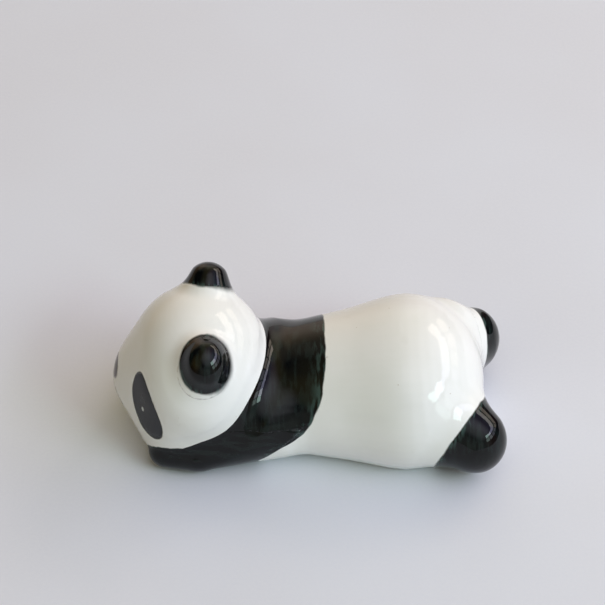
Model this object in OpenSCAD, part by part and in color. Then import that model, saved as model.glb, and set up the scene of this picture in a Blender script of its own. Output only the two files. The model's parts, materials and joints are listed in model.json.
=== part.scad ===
// Chopstick rest: a panda lying on its belly, cast in porcelain as a hollow shell.
// The head points along -X, the camera's side is -Y, and the table is at Z = 0.
// The chopsticks lie across the dip in the back, behind the head.

/* [Skull] */
// Length of the skull, front to back
skull_l = 21.4; // [20:0.2:22.6]
// Width of the skull
skull_w = 26; // [24:0.2:28]
// Height of the skull
skull_h = 21.6; // [20:0.2:23]
// Distance of the skull's middle in front of the middle of the rest
skull_ahead = 16.7; // [16.2:0.1:17.2]
// Height of the skull's middle above the table
skull_z = 12.6; // [12:0.1:13]

/* [Face] */
// Length of the muzzle
muzzle_l = 12.2; // [11:0.2:14]
// Width of the muzzle
muzzle_w = 13.8; // [12:0.2:16]
// Height of the muzzle
muzzle_h = 12.8; // [11:0.2:14]
// Distance of the muzzle's tip in front of the middle of the rest
muzzle_ahead = 29.7; // [29:0.1:31]
// Height of the muzzle's middle above the table
muzzle_z = 9.6; // [9:0.1:10]
// Length of each cheek
cheek_l = 9.4; // [8.6:0.2:10.6]
// Width of each cheek
cheek_w = 9.4; // [8:0.2:11]
// Height of each cheek
cheek_h = 10.6; // [10:0.2:12]
// Distance between the middles of the cheeks
cheek_gap = 12.6; // [11.4:0.2:13.4]
// Distance of the cheeks in front of the middle of the rest
cheek_ahead = 20.6; // [20:0.1:21.6]

/* [Ears] */
// Thickness of each ear, front to back
ear_t = 6.9; // [6.3:0.1:7.5]
// Width of each ear across its tip
ear_w = 8.2; // [7.4:0.1:9]
// Height of each ear's round end
ear_h = 7.2; // [6.6:0.1:8]
// Distance between the middles of the ears
ear_gap = 16.4; // [15:0.2:18]
// Height of the ears' middles above the table
ear_z = 20.7; // [20:0.1:21.2]
// Distance of the ears in front of the middle of the rest
ear_ahead = 15.2; // [14.6:0.1:16]
// Depth of the black tip of each ear
ear_paint = 3.7; // [3.2:0.1:4.4]

/* [Marks on the face] */
// Length of each eye patch
patch_l = 10.8; // [9:0.2:12]
// Width of each eye patch
patch_w = 5.5; // [4.6:0.1:6.2]
// Depth that each mark goes into the wall
mark_t = 2; // [1.8:0.1:2.4]
// Width of the nose
nose_w = 4.2; // [3:0.1:5]
// Height of the nose
nose_h = 2.6; // [2:0.1:3]
// Height of the nose above the table
nose_z = 11.7; // [11.3:0.1:12.3]
// Width of the brush line of the mouth
mouth_line = 0.4; // [0.3:0.05:0.6]
// Length of the brush line under the nose
mouth_drop = 0.8; // [0.6:0.1:1.4]
// Radius of the curve of each side of the mouth
mouth_r = 4; // [3:0.1:4.6]

/* [Trunk] */
// Length of the back's round
back_l = 23.6; // [22:0.2:25]
// Width of the back's round
back_w = 22.2; // [21:0.2:24]
// Height of the back's round
back_h = 18.4; // [17.6:0.2:19.6]
// Distance of the back's front end, under the head, in front of the middle of the rest
back_ahead = 10.7; // [10.2:0.1:11.3]
// Height of the back's middle above the table
back_z = 7.3; // [7:0.1:7.6]
// Length of the rump's round
rump_l = 21.8; // [20:0.2:23]
// Width of the rump's round
rump_w = 29.2; // [27:0.2:30]
// Height of the rump's round
rump_h = 23.6; // [22:0.2:25]
// Distance of the rump's middle behind the middle of the rest
rump_behind = 15.7; // [15:0.1:16.2]
// Height of the rump's middle above the table
rump_z = 8.5; // [8:0.1:9]
// Distance of the black yoke's rear edge behind the middle of the rest
yoke_behind = 2.6; // [2:0.1:4]

/* [Arms] */
// Diameter of each paw
paw_d = 5.6; // [5:0.1:6.2]
// Diameter of each arm at the wrist
wrist_d = 6.6; // [6:0.1:7.2]
// Diameter of each arm at the elbow
elbow_d = 13.2; // [12:0.1:14]
// Distance between the middles of the paws
paw_gap = 18; // [17:0.2:19]
// Distance between the middles of the wrists
wrist_gap = 19.4; // [18.4:0.2:20.4]
// Distance between the middles of the elbows
elbow_gap = 12.4; // [11.4:0.2:13.4]
// Distance of the paws' tips in front of the middle of the rest
paw_ahead = 24.3; // [23.6:0.1:25]
// Distance of the wrists in front of the middle of the rest
wrist_ahead = 16.5; // [15.5:0.1:17.5]
// Distance of the elbows in front of the middle of the rest
elbow_ahead = 7.2; // [6.6:0.1:8]

/* [Hind feet] */
// Width of each hind foot
foot_w = 9.2; // [8.6:0.1:10]
// Height of each hind foot
foot_h = 10.8; // [10.2:0.1:11.4]
// Height of the hind feet's middles above the table
foot_z = 6.6; // [6:0.1:7.2]
// Distance between the middles of the hind feet
foot_gap = 21.2; // [20:0.2:22.4]
// Distance of the hind feet's ends behind the middle of the rest
foot_behind = 29.7; // [29:0.1:30.4]
// Depth of the black of each hind foot inwards from its middle
foot_paint = 2.8; // [2.2:0.1:3.4]

/* [Shell] */
// Thickness of the cast wall
wall = 3; // [2.6:0.1:3.2]
// Diameter of the pour hole in the belly
pour_d = 6.6; // [6:0.2:8]
// Distance of the pour hole behind the middle of the rest
pour_behind = 9; // [7:0.5:12]
// Diameter of the opening in the neck
neck_d = 7; // [5:0.5:7.5]
// Height of the opening in the neck above the table
neck_z = 9.4; // [9:0.1:10]

/* [Hidden] */

white = [0.94, 0.94, 0.91];
black = [0.08, 0.08, 0.09];
grey = [0.23, 0.23, 0.25];
brown = [0.3, 0.22, 0.18];

// Radii of the soft hollows where the rounds meet
face_blend = 2.8;
ear_blend = 1.6;
cheek_blend = 4.4;
back_blend = 10;
foot_blend = 4.9;
arm_blend = 3.3;

// Longest reach from any middle to the skin, and the overrun of every cut
reach_max = 45;
over = 1;

// Number of halvings that find the skin, and of sides and rings on each skin
halvings = 14;
big_sides = 56;
big_rings = 36;
core_sides = 28;
core_rings = 18;
limb_sides = 32;
limb_rings = 20;
bore_sides = 48;
mark_sides = 40;

// Direction of the right ear, and the directions that the black of the right ear and foot faces
ear_axis = [0, 1, 1] / norm([0, 1, 1]);
ear_paint_axis = [0.12, 1, 1] / norm([0.12, 1, 1]);
foot_paint_axis = [0.8, 0.47, -0.36] / norm([0.8, 0.47, -0.36]);

// Height at which the yoke's rear edge turns forward
yoke_corner_z = 13.2;

// Flats that part the arms from the shoulders above them and from the chest between them, and
// the feet from the seat between them
arm_top = 9.6;
arm_in = 5.4;
foot_in = 4.8;

// Turn of the eye patches away from straight ahead, their angle down, their lean, and how much
// blunter their foot is
patch_side = 50;
patch_drop = 3;
patch_lean = 27;
patch_blunt_share = 0.06;

// Each round is its middle and its three half sizes. Paired ones lie at +Y and are mirrored.
skull = [[-skull_ahead, 0, skull_z], [skull_l, skull_w, skull_h] / 2];
muzzle = [[muzzle_l / 2 - muzzle_ahead, 0, muzzle_z], [muzzle_l, muzzle_w, muzzle_h] / 2];
cheek = [[-cheek_ahead, cheek_gap / 2, cheek_h / 2], [cheek_l, cheek_w, cheek_h] / 2];
ear = [[-ear_ahead, ear_gap / 2, ear_z], [ear_t, ear_w, ear_h] / 2];
trunk = [[back_l / 2 - back_ahead, 0, back_z], [back_l, back_w, back_h] / 2];
rump = [[rump_behind, 0, rump_z], [rump_l, rump_w, rump_h] / 2];
foot = [[foot_behind - foot_w / 2, foot_gap / 2, foot_z], [foot_w, foot_w, foot_h] / 2];

// Middles of the paw, wrist and elbow of the right arm
paw = [paw_d / 2 - paw_ahead, paw_gap / 2, paw_d / 2];
wrist = [-wrist_ahead, wrist_gap / 2, wrist_d / 2];
elbow = [-elbow_ahead, elbow_gap / 2, elbow_d / 2];

// Distance from a point to a round, below 0 inside it
function round(p, r) = let (
    q = p - r[0],
    u = [q.x / r[1].x, q.y / r[1].y, q.z / r[1].z],
    v = [u.x / r[1].x, u.y / r[1].y, u.z / r[1].z])
    norm(q) == 0 ? -min(r[1]) : norm(u) * (norm(u) - 1) / norm(v);

// Distance from a point to a limb that tapers from end a to end b
function limb(p, a, b, ra, rb) = let (t = max(0, min(1, (p - a) * (b - a) / ((b - a) * (b - a)))))
    norm(p - a - t * (b - a)) - ra - t * (rb - ra);

// Two distances joined by a soft hollow of radius k
function melt(a, b, k) = let (h = max(k - abs(a - b), 0) / k) min(a, b) - h * h * k / 4;

// The point's mirror image on the +Y side, where the paired rounds are
function half(p) = [p.x, abs(p.y), p.z];

// The point as the ear sees it, with the ear's own width and height as Y and Z
function in_ear(p) = let (q = p - ear[0])
    [q.x, q.y * ear_axis.z - q.z * ear_axis.y, q.y * ear_axis.y + q.z * ear_axis.z] + ear[0];

// The clay of the head, and of the trunk with its limbs
head_clay = function (p) let (
    q = half(p),
    face = melt(round(q, skull), round(q, muzzle), face_blend),
    cheeks = melt(face, round(q, cheek), cheek_blend))
    melt(cheeks, round(in_ear(q), ear), ear_blend);
trunk_clay = function (p) let (
    q = half(p),
    back = melt(round(q, trunk), round(q, rump), back_blend),
    feet = melt(back, round(q, foot), foot_blend),
    forearm = limb(q, paw, wrist, paw_d / 2, wrist_d / 2),
    upper_arm = limb(q, wrist, elbow, wrist_d / 2, elbow_d / 2))
    melt(feet, min(forearm, upper_arm), arm_blend);

// How far along direction d from point o the clay, thinned by t, ends
function reach(clay, t, o, d, lo, hi, n) = let (m = (lo + hi) / 2, outside = clay(o + m * d) > -t)
    n == 0 ? m : reach(clay, t, o, d, outside ? lo : m, outside ? m : hi, n - 1);

// The skin of the clay, thinned by t, seen from the line from a to b. Its rings are square to the
// line between a and b and fan out past both.
module skin(clay, t, a, b, sides, rings) {
    fan = a == b ? floor(rings / 2) : floor(rings / 3);
    mid = a == b ? 0 : rings - 2 * fan;
    along = a == b ? [1, 0, 0] : (b - a) / norm(b - a);
    side = let (c = cross([0, 0, 1], along)) c / norm(c);
    up = cross(along, side);
    front = [for (i = [1 : fan]) [a, 90 * i / fan - 90]];
    middle = mid > 1 ? [for (i = [1 : mid - 1]) [a + (b - a) * i / mid, 0]] : [];
    back = [for (i = [mid == 0 ? 1 : 0 : fan - 1]) [b, 90 * i / fan]];
    rows = concat(front, middle, back);
    points = concat(
        [a - along * reach(clay, t, a, -along, 0, reach_max, halvings)],
        [for (r = rows, j = [0 : sides - 1]) let (
            turn = 360 * j / sides,
            d = sin(r[1]) * along + cos(r[1]) * (cos(turn) * side + sin(turn) * up))
            r[0] + d * reach(clay, t, r[0], d, 0, reach_max, halvings)],
        [b + along * reach(clay, t, b, along, 0, reach_max, halvings)]);
    last = len(points) - 1;
    low = last - sides;
    faces = concat(
        [for (j = [0 : sides - 1]) [0, 1 + j, 1 + (j + 1) % sides]],
        [for (i = [0 : len(rows) - 2], j = [0 : sides - 1]) let (
            p = 1 + i * sides + j,
            q = 1 + i * sides + (j + 1) % sides)
            each [[p, p + sides, q + sides], [p, q + sides, q]]],
        [for (j = [0 : sides - 1]) [last, low + (j + 1) % sides, low + j]]);
    polyhedron(points, faces);
}

module head_skin() {
    skin(head_clay, 0, skull[0], skull[0], big_sides, big_rings);
}

module head_core() {
    skin(head_clay, wall, skull[0], skull[0], core_sides, core_rings);
}

module trunk_skin() {
    skin(trunk_clay, 0, trunk[0], rump[0], big_sides, big_rings);
}

// Everything beyond the flat through point p that faces along n
module beyond(p, n) {
    translate(p)
        rotate([0, acos(n.z / norm(n)), atan2(n.y, n.x)])
            translate([-reach_max, -reach_max, 0])
                cube(2 * reach_max);
}

// Everything under the table
module table() {
    beyond([0, 0, 0], [0, 0, -1]);
}

// The hollow of the trunk has a flat floor, as thick as the wall
module trunk_core() {
    intersection() {
        skin(trunk_clay, wall, trunk[0], rump[0], core_sides, core_rings);
        beyond([0, 0, wall], [0, 0, 1]);
    }
}

// The opening that joins the hollow of the head to that of the trunk
module neck() {
    translate([skull[0].x, 0, neck_z])
        rotate([0, 90, 0])
            cylinder(d = neck_d, h = trunk[0].x - skull[0].x, $fn = bore_sides);
}

// The part on the left, which is the camera's side, or on the right
module on(left) {
    mirror([0, left ? 1 : 0, 0]) children();
}

// Where the black tips of the ears and feet begin, on the right side
module ear_tip() {
    beyond(ear[0] + (ear_h / 2 - ear_paint) * ear_axis, ear_paint_axis);
}

module foot_tip() {
    intersection() {
        beyond(foot[0] - foot_paint * foot_paint_axis, foot_paint_axis);
        beyond([0, foot_in, 0], [0, 1, 0]);
    }
}

// The black yoke's side view: it ends square at the top and slopes forward under the arm
module yoke_zone() {
    rotate([90, 0, 0])
        linear_extrude(2 * reach_max, center = true)
            polygon([
                [-reach_max, -over],
                [yoke_behind - yoke_corner_z - over, -over],
                [yoke_behind, yoke_corner_z],
                [yoke_behind, reach_max],
                [-reach_max, reach_max]]);
}

// The layer of the yoke that holds the arms and the chest, and the right arm's share of it
module low_zone() {
    beyond([0, 0, arm_top], [0, 0, -1]);
}

module arm_zone() {
    intersection() {
        low_zone();
        beyond([0, arm_in, 0], [0, 1, 0]);
    }
}

// An oval plug through the wall at p, square to n, with its length l turned by lean from upright
// and its foot blunter by a share
module plug(p, n, lean, l, w, blunt) {
    translate(p)
        rotate([0, acos(n.z / norm(n)), atan2(n.y, n.x)])
            rotate([0, 0, -lean])
                translate([0, 0, -mark_t])
                    linear_extrude(2 * mark_t + over)
                        polygon([for (i = [0 : mark_sides - 1]) let (a = 360 * i / mark_sides)
                            [l * cos(a), w * (1 + blunt * cos(a)) * sin(a)] / 2]);
}

// The point of the head's skin that lies along n from point o
function on_face(o, n) = o + n * reach(head_clay, 0, o, n, 0, reach_max, halvings);

module patch_plug() {
    n = [-cos(patch_side) * cos(patch_drop), sin(patch_side) * cos(patch_drop), -sin(patch_drop)];
    plug(on_face(skull[0], n), n, patch_lean, patch_l, patch_w, patch_blunt_share);
}

module nose_plug() {
    n = [-1, 0, 0];
    plug(on_face([muzzle[0].x, 0, nose_z], n), n, 90, nose_w, nose_h, 0);
}

// One brush line down from the nose, and two that curve down and out from its end
module mouth_plug() {
    top = nose_z - nose_h / 2;
    fork = on_face([muzzle[0].x, 0, top - mouth_drop], [-1, 0, 0]);
    translate([fork.x + mark_t, 0, fork.z])
        rotate([90, 0, -90])
            linear_extrude(2 * mark_t) {
                translate([-mouth_line / 2, -mouth_line / 2])
                    square([mouth_line, mouth_drop + mouth_line]);
                for (side = [0, 1])
                    mirror([side, 0])
                        intersection() {
                            translate([0, -mouth_r])
                                difference() {
                                    circle(mouth_r + mouth_line / 2, $fn = bore_sides);
                                    circle(mouth_r - mouth_line / 2, $fn = bore_sides);
                                }
                            translate([0, mouth_line - mouth_r / 2])
                                square([2 * mouth_r, mouth_r]);
                        }
            }
}

module head() {
    color(white)
        difference() {
            head_skin();
            head_core();
            table();
            for (left = [false, true])
                on(left) {
                    ear_tip();
                    patch_plug();
                }
            nose_plug();
            mouth_plug();
            neck();
        }
}

module ear_piece(left) {
    color(black)
        on(left)
            intersection() {
                skin(head_clay, 0, ear[0], ear[0], limb_sides, limb_rings);
                ear_tip();
            }
}

module patch_piece(left) {
    color(grey)
        on(left)
            intersection() {
                head_skin();
                patch_plug();
            }
}

module ear_left() {
    ear_piece(true);
}

module ear_right() {
    ear_piece(false);
}

module eye_patch_left() {
    patch_piece(true);
}

module eye_patch_right() {
    patch_piece(false);
}

module nose() {
    color(brown)
        intersection() {
            head_skin();
            nose_plug();
        }
}

module mouth() {
    color(brown)
        intersection() {
            head_skin();
            mouth_plug();
        }
}

// The cast shell of the yoke, from behind the head to the white of the body
module yoke() {
    difference() {
        intersection() {
            trunk_skin();
            yoke_zone();
        }
        head_skin();
        trunk_core();
        neck();
        table();
    }
}

module shoulders() {
    color(black)
        difference() {
            yoke();
            low_zone();
        }
}

module chest() {
    color(black)
        difference() {
            intersection() {
                yoke();
                low_zone();
            }
            for (left = [false, true])
                on(left) arm_zone();
        }
}

module arm_piece(left) {
    color(black)
        on(left)
            difference() {
                intersection() {
                    skin(trunk_clay, 0, paw, (wrist + elbow) / 2, limb_sides, limb_rings);
                    yoke_zone();
                    arm_zone();
                }
                head_skin();
                table();
            }
}

module arm_left() {
    arm_piece(true);
}

module arm_right() {
    arm_piece(false);
}

module body() {
    color(white)
        difference() {
            trunk_skin();
            yoke_zone();
            trunk_core();
            table();
            for (left = [false, true])
                on(left) foot_tip();
            translate([pour_behind, 0, -over])
                cylinder(d = pour_d, h = rump_z, $fn = bore_sides);
        }
}

module foot_piece(left) {
    color(black)
        on(left)
            difference() {
                intersection() {
                    skin(trunk_clay, 0, foot[0], foot[0], limb_sides, limb_rings);
                    foot_tip();
                }
                table();
            }
}

module foot_left() {
    foot_piece(true);
}

module foot_right() {
    foot_piece(false);
}

head();
ear_left();
ear_right();
eye_patch_left();
eye_patch_right();
nose();
mouth();
shoulders();
chest();
arm_left();
arm_right();
body();
foot_left();
foot_right();
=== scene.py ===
# %% [markdown]
# # A panda chopstick rest in glazed porcelain
#
# The object is a little slip-cast figure, 59 mm long: a panda that lies on its belly. It was
# cast hollow in a plaster mould, its markings were brushed on in underglaze colour, and it was
# dipped in one clear gloss glaze and fired. So its whole look is one soft, unbroken skin under
# one glaze, and the colour changes on that skin without a step.
#
# The lesson follows the same order as the pottery: clay, cutting into pieces, colour, glaze,
# and then a table and a row of windows to see it by. Places and sizes are written in
# millimetres, and MM turns them into Blender's metres.

# %% Load the frame
import json
import math

import bmesh
import bpy
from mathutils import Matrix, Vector
from mathutils.bvhtree import BVHTree

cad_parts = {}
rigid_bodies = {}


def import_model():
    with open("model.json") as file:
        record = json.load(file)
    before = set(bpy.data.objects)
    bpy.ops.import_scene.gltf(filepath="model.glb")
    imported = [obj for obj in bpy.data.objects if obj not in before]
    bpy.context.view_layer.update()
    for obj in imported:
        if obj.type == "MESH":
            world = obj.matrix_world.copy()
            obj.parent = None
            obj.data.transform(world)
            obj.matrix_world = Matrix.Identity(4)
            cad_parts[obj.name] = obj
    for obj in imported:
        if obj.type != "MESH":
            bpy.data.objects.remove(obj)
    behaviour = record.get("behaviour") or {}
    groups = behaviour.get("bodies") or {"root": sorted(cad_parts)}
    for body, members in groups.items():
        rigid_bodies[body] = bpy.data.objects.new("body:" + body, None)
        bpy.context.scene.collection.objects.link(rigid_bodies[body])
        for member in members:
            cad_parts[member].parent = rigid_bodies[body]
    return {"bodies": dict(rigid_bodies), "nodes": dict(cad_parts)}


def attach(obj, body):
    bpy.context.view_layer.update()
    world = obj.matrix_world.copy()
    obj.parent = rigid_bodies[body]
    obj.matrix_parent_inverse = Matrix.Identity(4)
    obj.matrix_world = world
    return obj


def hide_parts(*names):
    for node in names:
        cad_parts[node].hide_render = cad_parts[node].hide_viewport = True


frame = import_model()
for o in [o for o in bpy.data.objects if o.name in ("Cube", "Light", "Camera")]:
    bpy.data.objects.remove(o)
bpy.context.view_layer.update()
MM = 0.001

# %% [markdown]
# ## The camera
#
# The photograph looks down at the left flank from 45 degrees, with a long lens from 0.4 m away.
# The camera comes first, so that every later step can be checked against the photograph.

# %% Camera
SENSOR, LENS = 36, 154.95
EYE = Vector((-0.95, -271.8, 297.0))
TILT = 45


def place_camera():
    """Sets up the photograph's view: 45 degrees down, along +Y."""
    shot = bpy.data.cameras.new("photo_camera")
    shot.sensor_width = SENSOR
    shot.lens = LENS
    shot.clip_start = 0.01
    camera = bpy.data.objects.new("photo_camera", shot)
    camera.location = EYE * MM
    camera.rotation_euler = (math.radians(TILT), 0, 0)
    bpy.context.scene.collection.objects.link(camera)
    bpy.context.scene.camera = camera
    return camera


camera = place_camera()
print("camera at", [round(c, 3) for c in camera.location])

# %% [markdown]
# ## The clay
#
# Slip casting gives one closed skin with soft hollows. It could be sculpted from balls, but the
# CAD nodes already hold its true form, only in flat facets and cut along the colours. A modeller
# would smooth such a form with a damp sponge. Here merged copies of the nodes are joined, a
# voxel remesh turns them into one even skin, and Smooth plays the sponge. It is kept gentle,
# because it also wears down the ears.

# %% Selecting and joining by hand
def only(*objects):
    """Selects these objects and no others, and makes the first one active."""
    bpy.ops.object.select_all(action="DESELECT")
    for o in objects:
        o.select_set(True)
    bpy.context.view_layer.objects.active = objects[0]


def joined(name, objects):
    """Joins objects into one and merges the points that lie together."""
    only(*objects)
    bpy.ops.object.join()
    whole = bpy.context.object
    whole.name = name
    bpy.ops.object.mode_set(mode="EDIT")
    bpy.ops.mesh.select_all(action="SELECT")
    bpy.ops.mesh.remove_doubles(threshold=0.001 * MM)
    bpy.ops.object.mode_set(mode="OBJECT")
    return whole


# %% Copies of the CAD nodes
HEAD_NODES = ["head", "ear_left", "ear_right", "eye_patch_left", "eye_patch_right", "nose", "mouth"]
TRUNK_NODES = ["shoulders", "chest", "arm_left", "arm_right", "body", "foot_left", "foot_right"]


def copies(names):
    """Copies of CAD nodes, each with its own mesh. The nodes themselves are left alone."""
    made = []
    for n in names:
        o = bpy.data.objects.new("clay_" + n, frame["nodes"][n].data.copy())
        bpy.context.scene.collection.objects.link(o)
        made.append(o)
    return made


print("clay:", len(HEAD_NODES), "nodes of the head and", len(TRUNK_NODES), "of the trunk")

# %% Remesh, sponge and measure
VOXEL = 0.35 * MM


def remesh(piece):
    """Turns a piece into one even skin of small squares."""
    only(piece)
    piece.data.remesh_voxel_size = VOXEL
    bpy.ops.object.voxel_remesh()


def sponge(piece, rubs, group=""):
    """Smooths a piece, or one vertex group of it, as a damp sponge does."""
    only(piece)
    m = piece.modifiers.new("sponge", "SMOOTH")
    m.factor = 0.5
    m.iterations = rubs
    m.vertex_group = group
    bpy.ops.object.modifier_apply(modifier=m.name)


def measure(piece):
    """Volume in cubic millimetres, open edges and faces of a piece."""
    bm = bmesh.new()
    bm.from_mesh(piece.data)
    volume = bm.calc_volume() / MM ** 3
    open_edges = sum(1 for e in bm.edges if len(e.link_faces) != 2)
    faces = len(bm.faces)
    bm.free()
    return f"{volume:.0f} mm3, {open_edges} open edges, {faces} faces"


# %% [markdown]
# The figure was finished by hand, and its far hip came out fuller: there the photograph's outline
# runs from the rump to the hind foot without a dip. So a pad of clay goes over that hip before
# the skin is made, and the sponge works its edge in.

# %% The skin of the whole figure
HIP, HIP_HALF = Vector((20.5, 9.0, 12.5)), (5.4, 3.6, 3.6)
PAD_REACH, PAD_EDGE = 1.6, 3
SKIN_RUBS, PAD_RUBS = 8, 150


def egg(middle, half):
    """A solid egg, from its middle and its three half sizes."""
    bpy.ops.object.select_all(action="DESELECT")
    bpy.ops.mesh.primitive_uv_sphere_add(segments=48, ring_count=24, radius=MM,
        location=Vector(middle) * MM, scale=half)
    bpy.ops.object.transform_apply(location=True, rotation=True, scale=True)
    return bpy.context.object


def near_pad(piece, name):
    """Puts the points around the pad into a vertex group, and counts them. The group reaches
    PAD_REACH times as far as the pad and fades out over the last third of the pad's size."""
    group = piece.vertex_groups.new(name=name)
    found = 0
    for v in piece.data.vertices:
        off = v.co / MM - HIP
        share = PAD_REACH - Vector([c / half for c, half in zip(off, HIP_HALF)]).length
        if share > 0:
            group.add([v.index], min(1.0, PAD_EDGE * share), "REPLACE")
            found += 1
    return found


figure = joined("figure", copies(HEAD_NODES + TRUNK_NODES) + [egg(HIP, HIP_HALF)])
remesh(figure)
sponge(figure, SKIN_RUBS)
print("pad points:", near_pad(figure, "pad"))
sponge(figure, PAD_RUBS, "pad")
print("figure:", measure(figure))

# %% [markdown]
# Where one lump of clay is luted to another, a wet finger rounds the joint. Behind the head that
# leaves a valley with a round bottom, in which a window shines as a long thin streak. The ears
# and the hips get the same softer foot. Bevel needs an edge to follow, and the remeshed skin has
# none. So the points that are close to both lumps are smoothed many times, which fills the
# joint softly and changes nothing else. In the valley this fades out towards the table, so the
# paws under the cheeks stay full.

# %% Rounding the joints
EARS, FEET = ["ear_left", "ear_right"], ["foot_left", "foot_right"]
ANYWHERE = -10.0
# Each joint has the lumps on its two sides, how near to both of them its points lie, how many
# rubs it gets, and the height at which they begin. ANYWHERE is far below the table.
JOINTS = {
    "valley": (HEAD_NODES, TRUNK_NODES, 3.6, 420, 4.0),
    "ears": (EARS, ["head"], 2.6, 110, ANYWHERE),
    "hips": (FEET, ["body"], 3.8, 150, ANYWHERE)}
RISE = 4.0


def tree_of(names):
    """A search tree of CAD nodes, which finds the nearest point on their skin."""
    bm = bmesh.new()
    for n in names:
        bm.from_mesh(frame["nodes"][n].data)
    tree = BVHTree.FromBMesh(bm)
    bm.free()
    return tree


def near_both(piece, name, first, second, reach, low):
    """Puts the points close to both groups of nodes into a vertex group, and counts them. Their
    share rises from nothing at the height low to the whole over a RISE."""
    group = piece.vertex_groups.new(name=name)
    trees = tree_of(first), tree_of(second)
    found = 0
    for v in piece.data.vertices:
        far = max(tree.find_nearest(v.co)[3] for tree in trees)
        share = min(1.0, 2 * (1 - far / reach), (v.co.z / MM - low) / RISE)
        if share > 0 and v.co.z > VOXEL:
            group.add([v.index], share, "REPLACE")
            found += 1
    return found


for name, (first, second, reach, rubs, low) in JOINTS.items():
    print(name, "points:", near_both(figure, name, first, second, reach * MM, low))
    sponge(figure, rubs, name)
print("figure:", measure(figure))

# %% [markdown]
# ## Cutting the figure into its pieces
#
# The record keeps a node for each lump of clay and each painted mark. They could be made one by
# one, but then their edges would never quite meet. So the smooth figure is cut up instead, with
# large blocks and oval rods made by hand and Boolean modifiers. All pieces come from one skin,
# so their edges meet exactly.

# %% Cutters
def cube(name, size=100 * MM):
    """A large block, centred on the origin."""
    bpy.ops.object.select_all(action="DESELECT")
    bpy.ops.mesh.primitive_cube_add(size=size)
    bpy.context.object.name = name
    return bpy.context.object


def slice_off(block, point, normal):
    """Keeps what lies beyond the flat through point that faces along normal, and closes it."""
    only(block)
    bpy.ops.object.mode_set(mode="EDIT")
    bpy.ops.mesh.select_all(action="SELECT")
    bpy.ops.mesh.bisect(plane_co=point, plane_no=normal, use_fill=True, clear_inner=True)
    bpy.ops.object.mode_set(mode="OBJECT")
    return block


def twin(piece, name):
    """A copy of a piece with its own mesh."""
    o = bpy.data.objects.new(name, piece.data.copy())
    bpy.context.scene.collection.objects.link(o)
    return o


def cut(piece, cutter, how):
    """Cuts a piece with a solid: DIFFERENCE takes the solid away, INTERSECT keeps what is in it."""
    only(piece)
    m = piece.modifiers.new("cut", "BOOLEAN")
    m.operation = how
    m.object = cutter
    m.solver = "MANIFOLD"
    bpy.ops.object.modifier_apply(modifier=m.name)
    return piece


# %% [markdown]
# Each end of a colour is a flat cut through the clay. An ear is cut off at its root and a hind
# foot a little before its middle, the arms lie below a level cut on both sides of the chest,
# and the yoke ends behind in a cut that is upright above and leans forward below the flank. All
# are written for the right side, away from the camera, and mirrored for the left.

# %% Where each colour begins
SIDES = {"left": True, "right": False}
EAR_POINT, EAR_WAY = (-15.2, 8.13, 20.63), (0.12, 1, 1)
FOOT_WAY = Vector((0.8, 0.47, -0.36)).normalized()
FOOT_MIDDLE = Vector((25.1, 10.6, 6.6))
FOOT_FRONT = 2.8
FOOT_POINT = FOOT_MIDDLE - FOOT_FRONT * FOOT_WAY
FOOT_IN, ARM_IN, ARM_TOP = 4.8, 5.4, 9.6
YOKE_BEHIND, YOKE_CORNER = 2.6, 13.2


def side(v, left):
    """The point or direction v of the right side, mirrored for the left, the camera's side."""
    return Vector((v[0], -v[1], v[2])) if left else Vector(v)


def ear_block(left):
    """A block around one ear."""
    return slice_off(cube("ear_block"), side(EAR_POINT, left) * MM, side(EAR_WAY, left))


def foot_block(left):
    """A block around one hind foot."""
    block = slice_off(cube("foot_block"), side(FOOT_POINT, left) * MM, side(FOOT_WAY, left))
    return slice_off(block, side((0, FOOT_IN, 0), left) * MM, side((0, 1, 0), left))


def arm_block(left):
    """A block around one arm."""
    block = slice_off(cube("arm_block"), side((0, ARM_IN, 0), left) * MM, side((0, 1, 0), left))
    return slice_off(block, Vector((0, 0, ARM_TOP)) * MM, (0, 0, -1))


low_block = slice_off(cube("low_block"), Vector((0, 0, ARM_TOP)) * MM, (0, 0, -1))
yoke_block = slice_off(cube("yoke_block"), Vector((YOKE_BEHIND, 0, 0)) * MM, (-1, 0, 0))
slice_off(yoke_block, Vector((YOKE_BEHIND, 0, YOKE_CORNER)) * MM, (-1, 0, 1))
print("yoke cutter:", measure(yoke_block))

# %% [markdown]
# No flat cut can part the head from the trunk, because the valley between them is curved. The
# head's own form does it: the head's nodes, with their hollow filled up by four eggs of clay,
# remeshed and swelled by a fifth of a millimetre, so that it swallows the head's skin but not
# the valley's wall.

# %% The form of the head
SKULL = Vector((-16.7, 0, 12.6))
CHEEK_HALF = (3.2, 3.2, 3.8)
SWELL = 0.2

eggs = [
    egg(SKULL, (9.2, 11.5, 9.3)),
    egg((-23.6, 0, 9.6), (4.6, 5.4, 4.9)),
    egg((-20.6, 6.3, 5.3), CHEEK_HALF),
    egg((-20.6, -6.3, 5.3), CHEEK_HALF)]
head_form = joined("head_form", copies(HEAD_NODES) + eggs)
remesh(head_form)
sponge(head_form, SKIN_RUBS)
only(head_form)
swell = head_form.modifiers.new("swell", "DISPLACE")
swell.mid_level = 0
swell.strength = SWELL * MM
bpy.ops.object.modifier_apply(modifier=swell.name)
print("head form:", measure(head_form))

head_clay = cut(twin(figure, "head_clay"), head_form, "INTERSECT")
trunk_clay = cut(twin(figure, "trunk_clay"), head_form, "DIFFERENCE")
print("head clay:", measure(head_clay))
print("trunk clay:", measure(trunk_clay))

# %% [markdown]
# The marks on the face are thin plugs set flush into the wall, as in the CAD model. Each cutter
# is an oval rod that points from the middle of the head out through the skin. A ray finds where
# it comes out.

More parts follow.
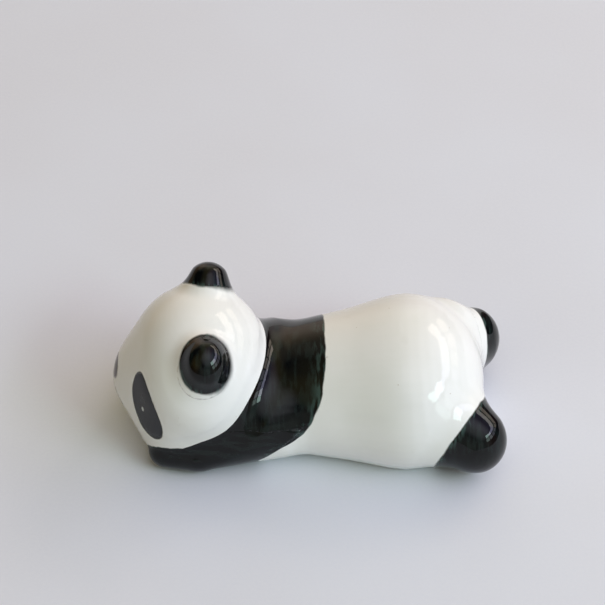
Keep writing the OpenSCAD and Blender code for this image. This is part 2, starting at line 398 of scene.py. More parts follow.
# %% Where the marks of the face come out
PATCH_LONG, PATCH_WIDE, PATCH_LEAN, PATCH_BLUNT = 10.8, 5.5, 27.0, 0.06
NOSE_WIDE, NOSE_HIGH, NOSE_Z = 4.9, 2.8, 12.0
MUZZLE_X = -23.6
AHEAD = Vector((-1, 0, 0))
OUTSIDE = 40


def on_skin(start, way):
    """The outermost point of the figure's skin along a ray."""
    tree = BVHTree.FromObject(figure, bpy.context.evaluated_depsgraph_get())
    way = Vector(way).normalized()
    hit = tree.ray_cast((Vector(start) + OUTSIDE * way) * MM, -way)[0]
    return hit / MM


def aim(yaw, pitch):
    """Direction yaw degrees to the right of straight ahead and pitch degrees down."""
    yaw, pitch = math.radians(yaw), math.radians(pitch)
    level = math.cos(pitch)
    return Vector((-math.cos(yaw) * level, math.sin(yaw) * level, -math.sin(pitch)))


PATCH_WAY = aim(50, 3)
PATCH_SPOT = on_skin(SKULL, PATCH_WAY)
NOSE_SPOT = on_skin((MUZZLE_X, 0, NOSE_Z), AHEAD)
print("eye patch at", [round(c, 1) for c in PATCH_SPOT], "nose at", [round(c, 1) for c in NOSE_SPOT])

# %% Oval rods through the face
MARK_DEPTH = 2.0


def across(way, lean):
    """The long and the short direction of an oval that faces along way and leans from upright."""
    level = Vector((0, 0, 1)).cross(way).normalized()
    up = way.cross(level)
    lean = math.radians(lean)
    return up * math.cos(lean) + level * math.sin(lean), level * math.cos(lean) - up * math.sin(lean)


def rod(name, spot, way, lean, long, wide, left=False):
    """An oval rod through the skin at spot, ready to cut a mark."""
    bpy.ops.object.select_all(action="DESELECT")
    bpy.ops.mesh.primitive_cylinder_add(vertices=96, radius=0.5, depth=2 * MARK_DEPTH)
    o = bpy.context.object
    o.name = name
    up, level = across(way, lean)
    for v in o.data.vertices:
        x, y, z = v.co
        v.co = side(Vector(spot) + way * z + up * (x * long) + level * (y * wide), left) * MM
    only(o)
    bpy.ops.object.mode_set(mode="EDIT")
    bpy.ops.mesh.select_all(action="SELECT")
    bpy.ops.mesh.normals_make_consistent(inside=False)
    bpy.ops.object.mode_set(mode="OBJECT")
    return o


# %% [markdown]
# The mouth is one brush line: a short drop under the nose, which forks into two arcs. Each arc
# starts as a small upright plane in the muzzle and is spun round an axis that points ahead.

# %% The brush line of the mouth
MOUTH_LINE, MOUTH_DROP, MOUTH_R, MOUTH_TURN = 0.4, 0.4, 5.2, 60
NOSE_FOOT = NOSE_Z - NOSE_HIGH / 2
FORK = on_skin((MUZZLE_X, 0, NOSE_FOOT - MOUTH_DROP), AHEAD)


def mouth_drop():
    """The short line under the nose, as a thin cutter."""
    bpy.ops.object.select_all(action="DESELECT")
    bpy.ops.mesh.primitive_cube_add(size=1)
    drop_line = bpy.context.object
    for v in drop_line.data.vertices:
        x, y, z = v.co
        v.co = Vector((FORK.x + x * 2 * MARK_DEPTH, y * MOUTH_LINE,
            NOSE_FOOT - MOUTH_DROP / 2 + z * (MOUTH_DROP + MOUTH_LINE))) * MM
    return drop_line


def mouth_arc(left):
    """One arc that curves down and out from the fork, as a thin cutter."""
    bpy.ops.object.select_all(action="DESELECT")
    bpy.ops.mesh.primitive_plane_add(size=1)
    arc = bpy.context.object
    for v in arc.data.vertices:
        x, y, z = v.co
        v.co = side((FORK.x + x * 2 * MARK_DEPTH, 0, FORK.z + y * MOUTH_LINE), left) * MM
    bpy.ops.object.mode_set(mode="EDIT")
    bpy.ops.mesh.select_all(action="SELECT")
    bpy.ops.mesh.spin(steps=16, angle=math.radians(MOUTH_TURN if left else -MOUTH_TURN),
        center=Vector((FORK.x, 0, FORK.z - MOUTH_R)) * MM, axis=(1, 0, 0))
    bpy.ops.mesh.select_all(action="SELECT")
    bpy.ops.mesh.normals_make_consistent(inside=False)
    bpy.ops.object.mode_set(mode="OBJECT")
    return arc


mouth_bars = mouth_drop()
for left in (False, True):
    cut(mouth_bars, mouth_arc(left), "UNION")
print("mouth cutter:", measure(mouth_bars))

# %% The pieces of the head
pieces = {}
plugs = {"nose": rod("nose_rod", NOSE_SPOT, AHEAD, 90, NOSE_WIDE, NOSE_HIGH)}
for name, left in SIDES.items():
    plugs["eye_patch_" + name] = rod("patch_rod", PATCH_SPOT, PATCH_WAY, PATCH_LEAN,
        PATCH_LONG, PATCH_WIDE, left)
    plugs["ear_" + name] = ear_block(left)
plugs["mouth"] = mouth_bars
for name, cutter in plugs.items():
    pieces[name] = cut(twin(head_clay, name + "_skin"), cutter, "INTERSECT")
cut(pieces["mouth"], plugs["nose"], "DIFFERENCE")
pieces["head"] = twin(head_clay, "head_skin")
for cutter in plugs.values():
    cut(pieces["head"], cutter, "DIFFERENCE")
print("head and its plugs:", ", ".join(pieces))

# %% The pieces of the trunk
yoke_clay = cut(twin(trunk_clay, "yoke_clay"), yoke_block, "INTERSECT")
pieces["shoulders"] = cut(twin(yoke_clay, "shoulders_skin"), low_block, "DIFFERENCE")
pieces["chest"] = cut(twin(yoke_clay, "chest_skin"), low_block, "INTERSECT")
pieces["body"] = cut(twin(trunk_clay, "body_skin"), yoke_block, "DIFFERENCE")
for name, left in SIDES.items():
    block = arm_block(left)
    pieces["arm_" + name] = cut(twin(yoke_clay, "arm_" + name + "_skin"), block, "INTERSECT")
    cut(pieces["chest"], block, "DIFFERENCE")
    block = foot_block(left)
    pieces["foot_" + name] = cut(twin(trunk_clay, "foot_" + name + "_skin"), block, "INTERSECT")
    cut(pieces["body"], block, "DIFFERENCE")
print("pieces:", len(pieces))

# %% [markdown]
# A knife leaves crumbs, and so does a Boolean cut: here and there it leaves slivers and specks
# along the rim. They are too small to see, but in the way of anyone who uses the mesh, so each
# piece is swept.

# %% Sweeping up
SLIVER = 0.01


def skins_of(bm):
    """The skins of a mesh, smallest first. A skin goes on across each edge that joins two faces."""
    waiting, skins = set(bm.faces), []
    while waiting:
        skin, rim = [], [waiting.pop()]
        while rim:
            face = rim.pop()
            skin.append(face)
            for edge in face.edges:
                beyond = waiting.intersection(edge.link_faces) if len(edge.link_faces) == 2 else ()
                rim.extend(beyond)
                waiting.difference_update(beyond)
        skins.append(skin)
    return sorted(skins, key=len)


def sweep(piece):
    """Closes slivers up and keeps only the largest skin. Counts the faces of the crumbs."""
    bm = bmesh.new()
    bm.from_mesh(piece.data)
    bmesh.ops.triangulate(bm, faces=[f for f in bm.faces if len(f.verts) > 4])
    bmesh.ops.dissolve_degenerate(bm, dist=SLIVER * MM, edges=bm.edges[:])
    crumbs = [face for skin in skins_of(bm)[:-1] for face in skin]
    bmesh.ops.delete(bm, geom=crumbs, context="FACES")
    bmesh.ops.delete(bm, geom=[e for e in bm.edges if not e.link_faces], context="EDGES")
    bm.to_mesh(piece.data)
    bm.free()
    return len(crumbs)


for name, piece in pieces.items():
    print(name, "crumbs:", sweep(piece), "left:", measure(piece))

# %% [markdown]
# The brush didn't follow the seam between head and trunk: the black runs a little way up the
# back of the head. So each point of the head carries its distance from the trunk, in
# millimetres, and the material reads it to end the black in an even line.

# %% How far the head's skin is from the trunk
trunk_tree = tree_of(TRUNK_NODES)
for name in HEAD_NODES:
    far = [trunk_tree.find_nearest(v.co)[3] / MM for v in pieces[name].data.vertices]
    layer = pieces[name].data.attributes.new("trunk_far", "FLOAT", "POINT")
    layer.data.foreach_set("value", far)
    print(name, "comes within", round(min(far), 2), "mm of the trunk")

# %% Clearing the bench
keep = set(pieces.values()) | set(frame["nodes"].values()) | set(frame["bodies"].values()) | {camera}
for o in list(bpy.data.objects):
    if o not in keep:
        bpy.data.objects.remove(o)

# %% [markdown]
# ## Colour and glaze
#
# All colour on the real rest lies in one skin under one glaze. A paint of its own for each piece
# would end in a knife-sharp line, where the real colours end softly under the glaze. So each
# colour is a mask on the same ceramic. A mask starts as a depth in millimetres: above 0 inside a
# brush stroke, below 0 outside it. It reads Object coordinates, which here are places on the
# rest, so two pieces that meet show one unbroken stroke.

# %% Node helpers
def add(tree, kind, inputs=(), **settings):
    """Adds a shader node. An input takes a value or another node's output."""
    n = tree.nodes.new("ShaderNode" + kind)
    for key, value in settings.items():
        setattr(n, key, value)
    for key, value in dict(inputs).items():
        if isinstance(value, bpy.types.NodeSocket):
            tree.links.new(value, n.inputs[key])
        else:
            n.inputs[key].default_value = value
    return n


def calc(tree, how, *values):
    """One step of arithmetic. MULTIPLY_ADD takes a value, its factor and what is added."""
    return add(tree, "Math", enumerate(values), operation=how).outputs[0]


def mix(tree, share, a, b):
    """Mixes two colours, each one three numbers or another node's output."""
    n = add(tree, "Mix", {0: share}, data_type="RGBA")
    for socket, colour in ((n.inputs[6], a), (n.inputs[7], b)):
        if isinstance(colour, bpy.types.NodeSocket):
            tree.links.new(colour, socket)
        else:
            socket.default_value = (*colour, 1)
    return n.outputs[2]


def step(tree, value, low, high):
    """A soft step from 0 at low to 1 at high."""
    return add(tree, "MapRange", {"Value": value, "From Min": low, "From Max": high},
        interpolation_type="SMOOTHSTEP").outputs["Result"]


# %% Helpers that read places
def start(name):
    """A new material, its nodes, and places in millimetres as its first value."""
    m = bpy.data.materials.new(name)
    m.use_nodes = True
    tree = m.node_tree
    tree.nodes.clear()
    where = add(tree, "TexCoord").outputs["Object"]
    place = add(tree, "VectorMath", {0: where, "Scale": 1 / MM}, operation="SCALE").outputs[0]
    return m, tree, place


def far_along(tree, place, point, way):
    """How far a place lies beyond the flat through point that faces along way."""
    from_point = add(tree, "VectorMath", {0: place, 1: point}, operation="SUBTRACT").outputs[0]
    way = Vector(way).normalized()
    return add(tree, "VectorMath", {0: from_point, 1: way}, operation="DOT_PRODUCT").outputs["Value"]


def distance(tree, u, v):
    """How far it is from the origin to the point u, v of a flat."""
    squares = [calc(tree, "MULTIPLY", c, c) for c in (u, v)]
    return calc(tree, "SQRT", calc(tree, "ADD", *squares))


def noise(tree, place, size, detail=2.0, stretch=(1, 1, 1)):
    """Noise around 0 with blotches of about this size, stretched along an axis."""
    scale = [1 / (size * s) for s in stretch]
    place = add(tree, "VectorMath", {0: place, 1: scale}, operation="MULTIPLY").outputs[0]
    value = add(tree, "TexNoise", {"Vector": place, "Scale": 1.0, "Detail": detail}).outputs["Fac"]
    return calc(tree, "SUBTRACT", value, 0.5)


def specks(tree, place, spread, reach, colour, speck):
    """A colour with tiny specks in it. spread is how many there are along a millimetre, and reach
    where a speck's edge begins and ends, from the outside in, as shares of their spacing."""
    middle_far = add(tree, "TexVoronoi", {"Vector": place, "Scale": spread}).outputs["Distance"]
    return mix(tree, step(tree, middle_far, *reach), colour, speck)


# %% [markdown]
# The white is the porcelain itself, seen through the glaze. It is nearly even: faint clouds, a
# darker, greener tint towards the table, and a few tiny iron specks.

# %% Porcelain
CLOUDY, CLEAR, CLOUD_SIZE = (0.825, 0.83, 0.79), (0.86, 0.86, 0.83), 9
# The white turns darker and greener towards the table, from a height of 6 mm down.
LOW_GREEN, LOW_GREEN_TOP, LOW_GREEN_SHARE = (0.76, 0.81, 0.76), 6, 0.6
IRON, IRON_SPREAD, IRON_REACH = (0.45, 0.38, 0.3), 0.3, (0.03, 0.012)


def porcelain(tree, place):
    """The colour of the white body."""
    clouds = step(tree, noise(tree, place, CLOUD_SIZE), -0.2, 0.2)
    white = mix(tree, clouds, CLOUDY, CLEAR)
    height = add(tree, "SeparateXYZ", {0: place}).outputs["Z"]
    low_green = calc(tree, "MULTIPLY", step(tree, height, LOW_GREEN_TOP, 0), LOW_GREEN_SHARE)
    white = mix(tree, low_green, white, LOW_GREEN)
    return specks(tree, place, IRON_SPREAD, IRON_REACH, white, IRON)


# %% [markdown]
# Black underglaze is brushed on. Where the brush lifts, just inside the edge, the coat is thin
# and the bristles leave dark green streaks. The glaze softens the very edge.

# %% Brushed black
BLACK = (0.0035, 0.004, 0.0045)
THIN = (0.044, 0.076, 0.068)
RAGGED = 0.22
THIN_INSIDE, THIN_RIM = 0.12, 0.9
COVERED, STREAKED = -0.05, 0.14


def brushed(tree, colour, depth, streaks, soft, rim):
    """Lays brushed black over a colour. depth is how far inside the stroke a place is, streaks
    the bristle marks, soft the width of the edge, and rim how far in the paint is thin."""
    ragged = calc(tree, "MULTIPLY_ADD", streaks, RAGGED, depth)
    half = calc(tree, "MULTIPLY", soft, 0.5)
    cover = step(tree, ragged, calc(tree, "MULTIPLY", half, -1.0), half)
    share = calc(tree, "MULTIPLY_ADD", step(tree, depth, rim, 0.0), THIN_RIM, THIN_INSIDE)
    thin = calc(tree, "MULTIPLY", share, step(tree, streaks, COVERED, STREAKED))
    return mix(tree, cover, colour, mix(tree, thin, BLACK, THIN))


# %% [markdown]
# One clear glaze covers it all but the flat base, which is wiped clean before the firing and
# stays dull and creamy. The glaze is a coat on the shader. It lies in very soft waves, which
# break the reflection of a window into streaks.

# %% Glaze
BARE, BARE_DARK = (0.72, 0.66, 0.57), (0.66, 0.6, 0.51)
WIPED_TO, GLAZED_FROM = 0.08, 0.2
WAVE_SIZE, WAVE_HIGH = 3.2, 0.03
GRIT_SIZE, GRIT_THROUGH = 0.35, 0.03
UNDER_GLAZE, BARE_ROUGH = 0.5, 0.85
GLAZE_ROUGH, GLAZE_IOR = 0.025, 1.36


def glaze(m, tree, place, colour):
    """Covers a colour with glaze, down to the wiped base."""
    height = add(tree, "SeparateXYZ", {0: place}).outputs["Z"]
    glazed = step(tree, height, WIPED_TO, GLAZED_FROM)
    grit = noise(tree, place, GRIT_SIZE, 3.0)
    bare = mix(tree, step(tree, grit, -0.15, 0.15), BARE_DARK, BARE)
    colour = mix(tree, glazed, bare, colour)
    waves = calc(tree, "MULTIPLY", noise(tree, place, WAVE_SIZE, 1.0), glazed)
    gritty = calc(tree, "MULTIPLY_ADD", glazed, GRIT_THROUGH - 1.0, 1.0)
    relief = calc(tree, "ADD", waves, calc(tree, "MULTIPLY", grit, gritty))
    bump = add(tree, "Bump", {"Strength": 1.0, "Distance": WAVE_HIGH * MM, "Height": relief})
    skin = add(tree, "BsdfPrincipled", {
        "Base Color": colour,
        "Roughness": calc(tree, "MULTIPLY_ADD", glazed, UNDER_GLAZE - BARE_ROUGH, BARE_ROUGH),
        "Specular IOR Level": 0.0,
        "Coat Weight": glazed,
        "Coat Roughness": GLAZE_ROUGH,
        "Coat IOR": GLAZE_IOR,
        "Normal": bump.outputs["Normal"],
        "Coat Normal": bump.outputs["Normal"]})
    out = add(tree, "OutputMaterial")
    tree.links.new(skin.outputs[0], out.inputs["Surface"])
    return m


# %% [markdown]
# The face is drawn with three marks: flat grey ovals round the eyes, each with a dot of light
# painted in, a brown nose, and a hair-thin brown line for the mouth. Each mark is a depth too,
# worked out from the same sizes as its cutter.

# %% Marks on the face
GREY, GREY_RIM = (0.026, 0.027, 0.032), (0.014, 0.017, 0.014)
BROWN = (0.05, 0.036, 0.03)
DOT, DOT_SPOT = (0.62, 0.66, 0.66), Vector((-24.42, 8.45, 11.64))
DOT_LONG, DOT_WIDE, DOT_LEAN = 0.75, 0.5, 10
UNDER_SKIN = 3.0


def oval(tree, place, spot, way, lean, long, wide, blunt=0.0, left=False):
    """Depth inside an oval mark that faces along way and ends under the skin. blunt makes it
    narrower above and wider below."""
    up, level = across(Vector(way), lean)
    u = far_along(tree, place, side(spot, left), side(up, left))
    v = far_along(tree, place, side(spot, left), side(level, left))
    v = calc(tree, "DIVIDE", v, calc(tree, "MULTIPLY_ADD", u, -2 * blunt / long, 1.0))
    r = distance(tree, calc(tree, "DIVIDE", u, long / 2), calc(tree, "DIVIDE", v, wide / 2))
    depth = calc(tree, "MULTIPLY", calc(tree, "SUBTRACT", 1.0, r), wide / 2)
    out = far_along(tree, place, side(spot, left), side(way, left))
    return calc(tree, "MINIMUM", depth, calc(tree, "ADD", out, UNDER_SKIN))


def mouth_line(tree, place):
    """Depth inside the line of the mouth: a drop line and an arc on each side."""
    apart = add(tree, "SeparateXYZ", {0: place}).outputs
    y = calc(tree, "ABSOLUTE", apart["Y"])
    z = calc(tree, "SUBTRACT", apart["Z"], FORK.z - MOUTH_R)
    off = calc(tree, "ABSOLUTE", calc(tree, "SUBTRACT", distance(tree, y, z), MOUTH_R))
    arc = calc(tree, "SUBTRACT", MOUTH_LINE / 2, off)
    arc_end = calc(tree, "SUBTRACT", z, MOUTH_R * math.cos(math.radians(MOUTH_TURN)))
    arc = calc(tree, "MINIMUM", arc, arc_end)
    over = calc(tree, "SUBTRACT", z, MOUTH_R + MOUTH_DROP / 2)
    drop = calc(tree, "SUBTRACT", MOUTH_DROP / 2, calc(tree, "ABSOLUTE", over))
    drop = calc(tree, "MINIMUM", drop, calc(tree, "SUBTRACT", MOUTH_LINE / 2, y))
    front = calc(tree, "SUBTRACT", MUZZLE_X, apart["X"])
    return calc(tree, "MINIMUM", calc(tree, "MAXIMUM", arc, drop), front)


# %% [markdown]
# The head is painted in the order of the brushes: first the black of the ears and of the yoke's
# end, then the grey round the eyes with its dots of light, and last the brown of the nose and
# the mouth. The ears' edge is soft, and softest behind, and the two ears differ a little, as
# brushwork does. The yoke's black runs further up behind the head and under the cheeks than
# between them.

# %% The painted head
EAR_EDGES = {
    True: ((-15.2, 7.9, 20.7), (0.25, 0.85, 1.1)),
    False: ((-15.2, 8.0, 20.65), (0.25, 1, 1.1))}
EAR_FRONT, EAR_BEHIND = -16, -12
EAR_SOFT, EAR_SOFTER = 0.4, 0.8
BRISTLES = 0.6


def paint_ears(tree, place, colour, wander):
    """Both ears in brushed black. Their edge is EAR_SOFT wide, and EAR_SOFTER is added behind."""
    x = add(tree, "SeparateXYZ", {0: place}).outputs["X"]
    for left, (point, way) in EAR_EDGES.items():
        depth = far_along(tree, place, side(point, left), side(way, left))
        depth = calc(tree, "MULTIPLY_ADD", wander, 0.5, depth)
        streaks = noise(tree, place, BRISTLES, 2.0, (1, 5, 5))
        behind = step(tree, x, EAR_FRONT, EAR_BEHIND)
        soft = calc(tree, "MULTIPLY_ADD", behind, EAR_SOFTER, EAR_SOFT)
        colour = brushed(tree, colour, depth, streaks, soft, 0.8)
    return colour


# How far the black runs up the head: everywhere, and what is added behind and under the cheeks.
RUN_UP, RUN_UP_BEHIND, RUN_UP_CHEEK = 0.4, 0.8, 0.6
# Where along X each of these begins and is whole.
BEHIND_X = (-15, -9)
CHEEK_FRONT_X, CHEEK_BACK_X = (-24, -21), (-17, -20)


def paint_yoke_end(tree, place, colour, wander):
    """The yoke's black where it runs up the head, measured from the trunk."""
    x = add(tree, "SeparateXYZ", {0: place}).outputs["X"]
    to_trunk = add(tree, "Attribute", attribute_name="trunk_far").outputs["Fac"]
    run_up = calc(tree, "MULTIPLY_ADD", step(tree, x, *BEHIND_X), RUN_UP_BEHIND, RUN_UP)
    under_cheek = calc(tree, "MULTIPLY", step(tree, x, *CHEEK_FRONT_X), step(tree, x, *CHEEK_BACK_X))
    run_up = calc(tree, "MULTIPLY_ADD", under_cheek, RUN_UP_CHEEK, run_up)
    depth = calc(tree, "MULTIPLY_ADD", wander, 0.25, calc(tree, "SUBTRACT", run_up, to_trunk))
    return brushed(tree, colour, depth, noise(tree, place, BRISTLES, 2.0), 0.2, 0.3)


def paint_eyes(tree, place, colour):
    """Both grey ovals, a little darker at the rim, with their dots of light."""
    for left in SIDES.values():
        depth = oval(tree, place, PATCH_SPOT, PATCH_WAY, PATCH_LEAN, PATCH_LONG, PATCH_WIDE,
            PATCH_BLUNT, left)
        depth = calc(tree, "MULTIPLY_ADD", noise(tree, place, 1.6, 1.0), 0.16, depth)
        flat = mix(tree, step(tree, depth, 0.0, 0.35), GREY_RIM, GREY)
        colour = mix(tree, step(tree, depth, -0.06, 0.06), colour, flat)
        dot = oval(tree, place, DOT_SPOT, PATCH_WAY, DOT_LEAN, DOT_LONG, DOT_WIDE, 0.0, left)
        colour = mix(tree, step(tree, dot, -0.08, 0.1), colour, DOT)
    return colour


def paint_head():
    """Porcelain with black ears and the face, and the end of the yoke's black behind."""
    m, tree, place = start("glazed_head")
    colour = porcelain(tree, place)
    wander = noise(tree, place, 3.0, 1.0)
    colour = paint_ears(tree, place, colour, wander)
    colour = paint_yoke_end(tree, place, colour, wander)
    colour = paint_eyes(tree, place, colour)
    depth = oval(tree, place, NOSE_SPOT, AHEAD, 90, NOSE_WIDE, NOSE_HIGH)
    depth = calc(tree, "MULTIPLY_ADD", noise(tree, place, 1.2, 1.0), 0.3, depth)
    colour = mix(tree, step(tree, depth, -0.18, 0.18), colour, BROWN)
    depth = calc(tree, "MULTIPLY_ADD", noise(tree, place, 0.8, 1.0), 0.15, mouth_line(tree, place))
    colour = mix(tree, step(tree, depth, -0.1, 0.12), colour, BROWN)
    return glaze(m, tree, place, colour)


head_glaze = paint_head()
print("head glaze:", len(head_glaze.node_tree.nodes), "nodes")

# %% [markdown]
# The yoke is one broad stroke round the body and down both arms. Seen from the side, its rear
# edge leans forward below the flank. A curve gives that edge: each row of YOKE_EDGE is a height
# and its X. The bristle streaks run round the body above and along the arms below.

# %% The rear edge of the yoke
YOKE_EDGE = (
    (3.0, -7.6), (3.7, -7.0), (6.3, -4.3), (7.7, -1.8),
    (10.2, 0.17), (13.1, 1.65), (14.6, 2.15), (17.0, 2.4))


def yoke_edge(tree, height):
    """X of the yoke's rear edge at a height."""
    (low, fore), (high, aft) = YOKE_EDGE[0], YOKE_EDGE[-1]
    share = add(tree, "MapRange", {"Value": height, "From Min": low, "From Max": high}).outputs["Result"]
    curve = add(tree, "FloatCurve", {"Value": share})
    points = curve.mapping.curves[0].points
    points[0].location, points[1].location = (0, 0), (1, 1)
    for z, x in YOKE_EDGE[1:-1]:
        points.new((z - low) / (high - low), (x - fore) / (aft - fore))
    curve.mapping.update()
    return calc(tree, "MULTIPLY_ADD", curve.outputs[0], aft - fore, fore)


# %% The painted trunk
BROAD_BRISTLES, BLOTCH_SIZE = 0.7, 3.5
SHOULDER_Z, ARM_Z = 11.5, 8.0
FOOT_PAINT = {True: FOOT_FRONT, False: 0.9}
FOOT_ROUND = 2.0


def paint_yoke(tree, place, colour, wander):
    """The yoke and the arms in one stroke of brushed black. Between SHOULDER_Z and ARM_Z the
    bristle marks turn from round the body to along the arms."""
    apart = add(tree, "SeparateXYZ", {0: place}).outputs
    depth = calc(tree, "SUBTRACT", yoke_edge(tree, apart["Z"]), apart["X"])
    depth = calc(tree, "MULTIPLY_ADD", wander, 0.6, depth)
    low = step(tree, apart["Z"], SHOULDER_Z, ARM_Z)
    high = calc(tree, "SUBTRACT", 1.0, low)
    round_body = noise(tree, place, BROAD_BRISTLES, 4.0, (1, 5, 5))
    along_arm = noise(tree, place, BROAD_BRISTLES, 4.0, (5, 1, 1))
    streaks = calc(tree, "ADD", calc(tree, "MULTIPLY", round_body, high),
        calc(tree, "MULTIPLY", along_arm, low))
    blotches = calc(tree, "MULTIPLY_ADD", noise(tree, place, BLOTCH_SIZE, 1.0), 0.5, -0.01)
    streaks = calc(tree, "ADD", streaks, blotches)
    return brushed(tree, colour, depth, streaks, 0.25, 2.2)


def paint_feet(tree, place, colour, wander):
    """Both hind feet in brushed black. On the far one the black starts nearer to its middle."""
    for left, back in FOOT_PAINT.items():
        point = FOOT_MIDDLE - back * FOOT_WAY
        depth = far_along(tree, place, side(point, left), side(FOOT_WAY, left))
        inner = far_along(tree, place, side((0, FOOT_IN, 0), left), side((0, 1, 0), left))
        depth = calc(tree, "SMOOTH_MIN", depth, inner, FOOT_ROUND)
        depth = calc(tree, "MULTIPLY_ADD", wander, 0.5, depth)
        colour = brushed(tree, colour, depth, noise(tree, place, 0.5, 3.0, (1, 6, 6)), 0.3, 1.2)
    return colour


def paint_trunk():
    """Porcelain with the black yoke, arms and feet."""
    m, tree, place = start("glazed_trunk")
    colour = porcelain(tree, place)
    wander = noise(tree, place, 3.0, 1.0)
    colour = paint_yoke(tree, place, colour, wander)
    colour = paint_feet(tree, place, colour, wander)
    return glaze(m, tree, place, colour)


trunk_glaze = paint_trunk()
print("trunk glaze:", len(trunk_glaze.node_tree.nodes), "nodes")

# %% [markdown]
# A glazed casting has no sharp edge on its skin, but the cuts between the pieces are sharp.
# Smooth shading up to 35 degrees keeps both: the skin is soft, and each cut keeps its rim.

# %% Glazing the pieces
SHARP = 35

for name, piece in pieces.items():
    piece.data.materials.clear()
    piece.data.materials.append(head_glaze if name in HEAD_NODES else trunk_glaze)
    only(piece)
    bpy.ops.object.shade_smooth_by_angle(angle=math.radians(SHARP))
print("glazed:", ", ".join(pieces))

# %% [markdown]
# ## The table and the room
#
# The rest stands on a smooth, pale tabletop. It isn't part of the object, so it is only staged.
# A plain colour would look like nothing, so the top gets faint clouds, a fine grain, a few dark
# specks and a dull sheen.

# %% Table
TOP_COOL, TOP_COOLER, TOP_GRAIN = (0.70, 0.71, 0.77), (0.72, 0.74, 0.81), (0.78, 0.79, 0.83)
TOP_CLOUD_SIZE, TOP_GRAIN_SIZE = 55, 0.5
TOP_SPECK, TOP_SPREAD, TOP_REACH = (0.35, 0.33, 0.32), 0.045, (0.012, 0.006)
TOP_WIDE = 3


def paint_table():
    """A pale, faintly clouded tabletop."""
    m, tree, place = start("pale_top")
    clouds = step(tree, noise(tree, place, TOP_CLOUD_SIZE, 3.0), -0.18, 0.18)
    grain = noise(tree, place, TOP_GRAIN_SIZE, 3.0)
    colour = mix(tree, clouds, TOP_COOL, TOP_COOLER)
    colour = mix(tree, calc(tree, "MULTIPLY", step(tree, grain, -0.3, 0.3), 0.25), colour, TOP_GRAIN)
    colour = specks(tree, place, TOP_SPREAD, TOP_REACH, colour, TOP_SPECK)
    bump = add(tree, "Bump", {"Strength": 0.4, "Distance": 0.02 * MM, "Height": grain})
    top = add(tree, "BsdfPrincipled", {
        "Base Color": colour,
        "Roughness": calc(tree, "MULTIPLY_ADD", clouds, 0.08, 0.52),
        "Specular IOR Level": 0.3,
        "Normal": bump.outputs["Normal"]})
    out = add(tree, "OutputMaterial")
    tree.links.new(top.outputs[0], out.inputs["Surface"])
    return m


bpy.ops.object.select_all(action="DESELECT")
bpy.ops.mesh.primitive_plane_add(size=TOP_WIDE)
table = bpy.context.object
table.name = "table"
table.data.materials.append(paint_table())
print("table:", table.dimensions.x, "m wide")

# %% [markdown]
# A gloss glaze shows the room. The photograph's room is bright behind the rest, dark behind
# the camera, and has a row of windows on the right. The room is painted on the world as soft
# patches of light, from straight above down to just over the table. They are plain studio
# light: no patch is brighter than needed for the white to stay below pure white.

# %% Room
# Each patch has its azimuth from +X, its elevation and its spread, in degrees, and its colour.
ROOM = (
    (0, 90, 40, (0.30, 0.26, 0.10)),
    (0, 62, 38, (0.30, 0.24, 0.52)),
    (60, 62, 38, (0.12, 0.07, 0.0)),
    (300, 62, 38, (1.02, 1.08, 1.13)),
    (72, 38, 34, (0.55, 0.53, 0.36)),
    (108, 38, 34, (0.38, 0.33, 0.23)),
    (216, 38, 34, (0.34, 0.28, 0.09)),
    (60, 10, 32, (0.05, 0.0, 0.0)),
    (90, 10, 32, (0.50, 0.46, 0.45)),
    (120, 10, 32, (0.45, 0.30, 0.18)),
    (210, 10, 32, (0.15, 0.07, 0.0)),
    (240, 10, 32, (0.12, 0.11, 0.08)),
    (270, 10, 32, (0.30, 0.33, 0.30)),
    (300, 10, 32, (0.26, 0.30, 0.28)),
    (330, 10, 32, (0.19, 0.08, 0.04)))


def toward(azimuth, elevation):
    """The direction at an azimuth from +X and an elevation, both in degrees."""
    a, e = math.radians(azimuth), math.radians(elevation)
    return Vector((math.cos(a) * math.cos(e), math.sin(a) * math.cos(e), math.sin(e)))


def paint_room(patches):
    """Paints soft patches of light on the world, each one added to those before it."""
    world = bpy.data.worlds.new("room")
    bpy.context.scene.world = world
    world.use_nodes = True
    tree = world.node_tree
    way = add(tree, "TexCoord").outputs["Generated"]
    light = None
    for azimuth, elevation, spread, colour in patches:
        near = add(tree, "VectorMath", {0: way, 1: toward(azimuth, elevation)}, operation="DOT_PRODUCT")
        share = step(tree, near.outputs["Value"], math.cos(math.radians(spread)), 1.0)
        patch = mix(tree, share, (0, 0, 0), colour)
        if light is None:
            light = patch
        else:
            light = add(tree, "VectorMath", {0: light, 1: patch}, operation="ADD").outputs[0]
    tree.links.new(light, tree.nodes["Background"].inputs["Color"])
    return world


print("room:", len(paint_room(ROOM).node_tree.nodes), "nodes")

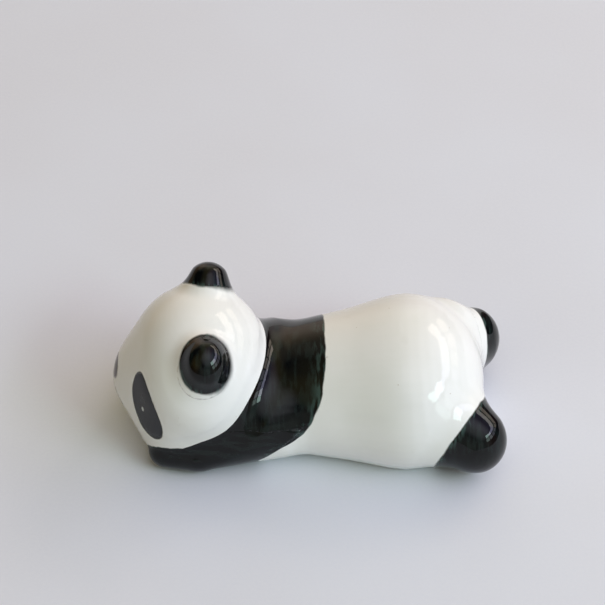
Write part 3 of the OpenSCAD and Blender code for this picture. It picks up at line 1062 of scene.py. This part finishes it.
# %% [markdown]
# The windows have straight edges, and the glaze shows them as crisp streaks, which a soft patch
# can't give. So each pane is an area light. Two rows of seven stand side by side, green and blue
# where they look out on trees and sky, and warmer and dimmer towards the back of the room.

# %% Window
PANE_WIDE, PANE_HIGH = 13, 12
ACROSS = range(-42, 55, 16)
# For each row's elevation in degrees, the glow and the tint of its panes.
ROWS = {
    37: (
        (9, (0.72, 1.0, 0.94)), (10.5, (0.82, 0.88, 1.0)), (5, (0.70, 0.72, 1.0)),
        (4.5, (0.80, 0.80, 1.0)), (4, (1.0, 0.95, 0.92)), (4, (1.0, 0.89, 0.80)),
        (4, (1.0, 0.86, 0.76))),
    21: (
        (3, (0.75, 1.0, 0.94)), (3, (0.85, 0.94, 1.0)), (1.6, (0.80, 0.80, 1.0)),
        (1.6, (0.85, 0.83, 1.0)), (2, (1.0, 0.88, 0.76)), (2, (1.0, 0.85, 0.72)),
        (2, (1.0, 0.85, 0.70)))}
WINDOW_FAR = 0.9


def pane(azimuth, elevation, glow, tint):
    """A pane of the window, which faces the rest from WINDOW_FAR metres away."""
    light = bpy.data.lights.new("pane", "AREA")
    light.shape = "RECTANGLE"
    light.size = 2 * WINDOW_FAR * math.tan(math.radians(PANE_WIDE / 2))
    light.size_y = 2 * WINDOW_FAR * math.tan(math.radians(PANE_HIGH / 2))
    light.energy = glow * math.pi * light.size * light.size_y
    light.color = tint
    o = bpy.data.objects.new("pane", light)
    way = toward(azimuth, elevation)
    o.location = way * WINDOW_FAR
    o.rotation_euler = way.to_track_quat("Z", "Y").to_euler()
    bpy.context.scene.collection.objects.link(o)
    return o


panes = [pane(azimuth, elevation, glow, tint)
    for elevation, row in ROWS.items() for azimuth, (glow, tint) in zip(ACROSS, row)]
print("window:", len(panes), "panes")

# %% [markdown]
# ## Handing the pieces over
#
# Each piece rides on the one rigid body and stands for its CAD node, which is hidden.

# %% Hand over
bpy.context.scene.view_settings.view_transform = "Standard"
for name, piece in pieces.items():
    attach(piece, "root")
    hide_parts(name)
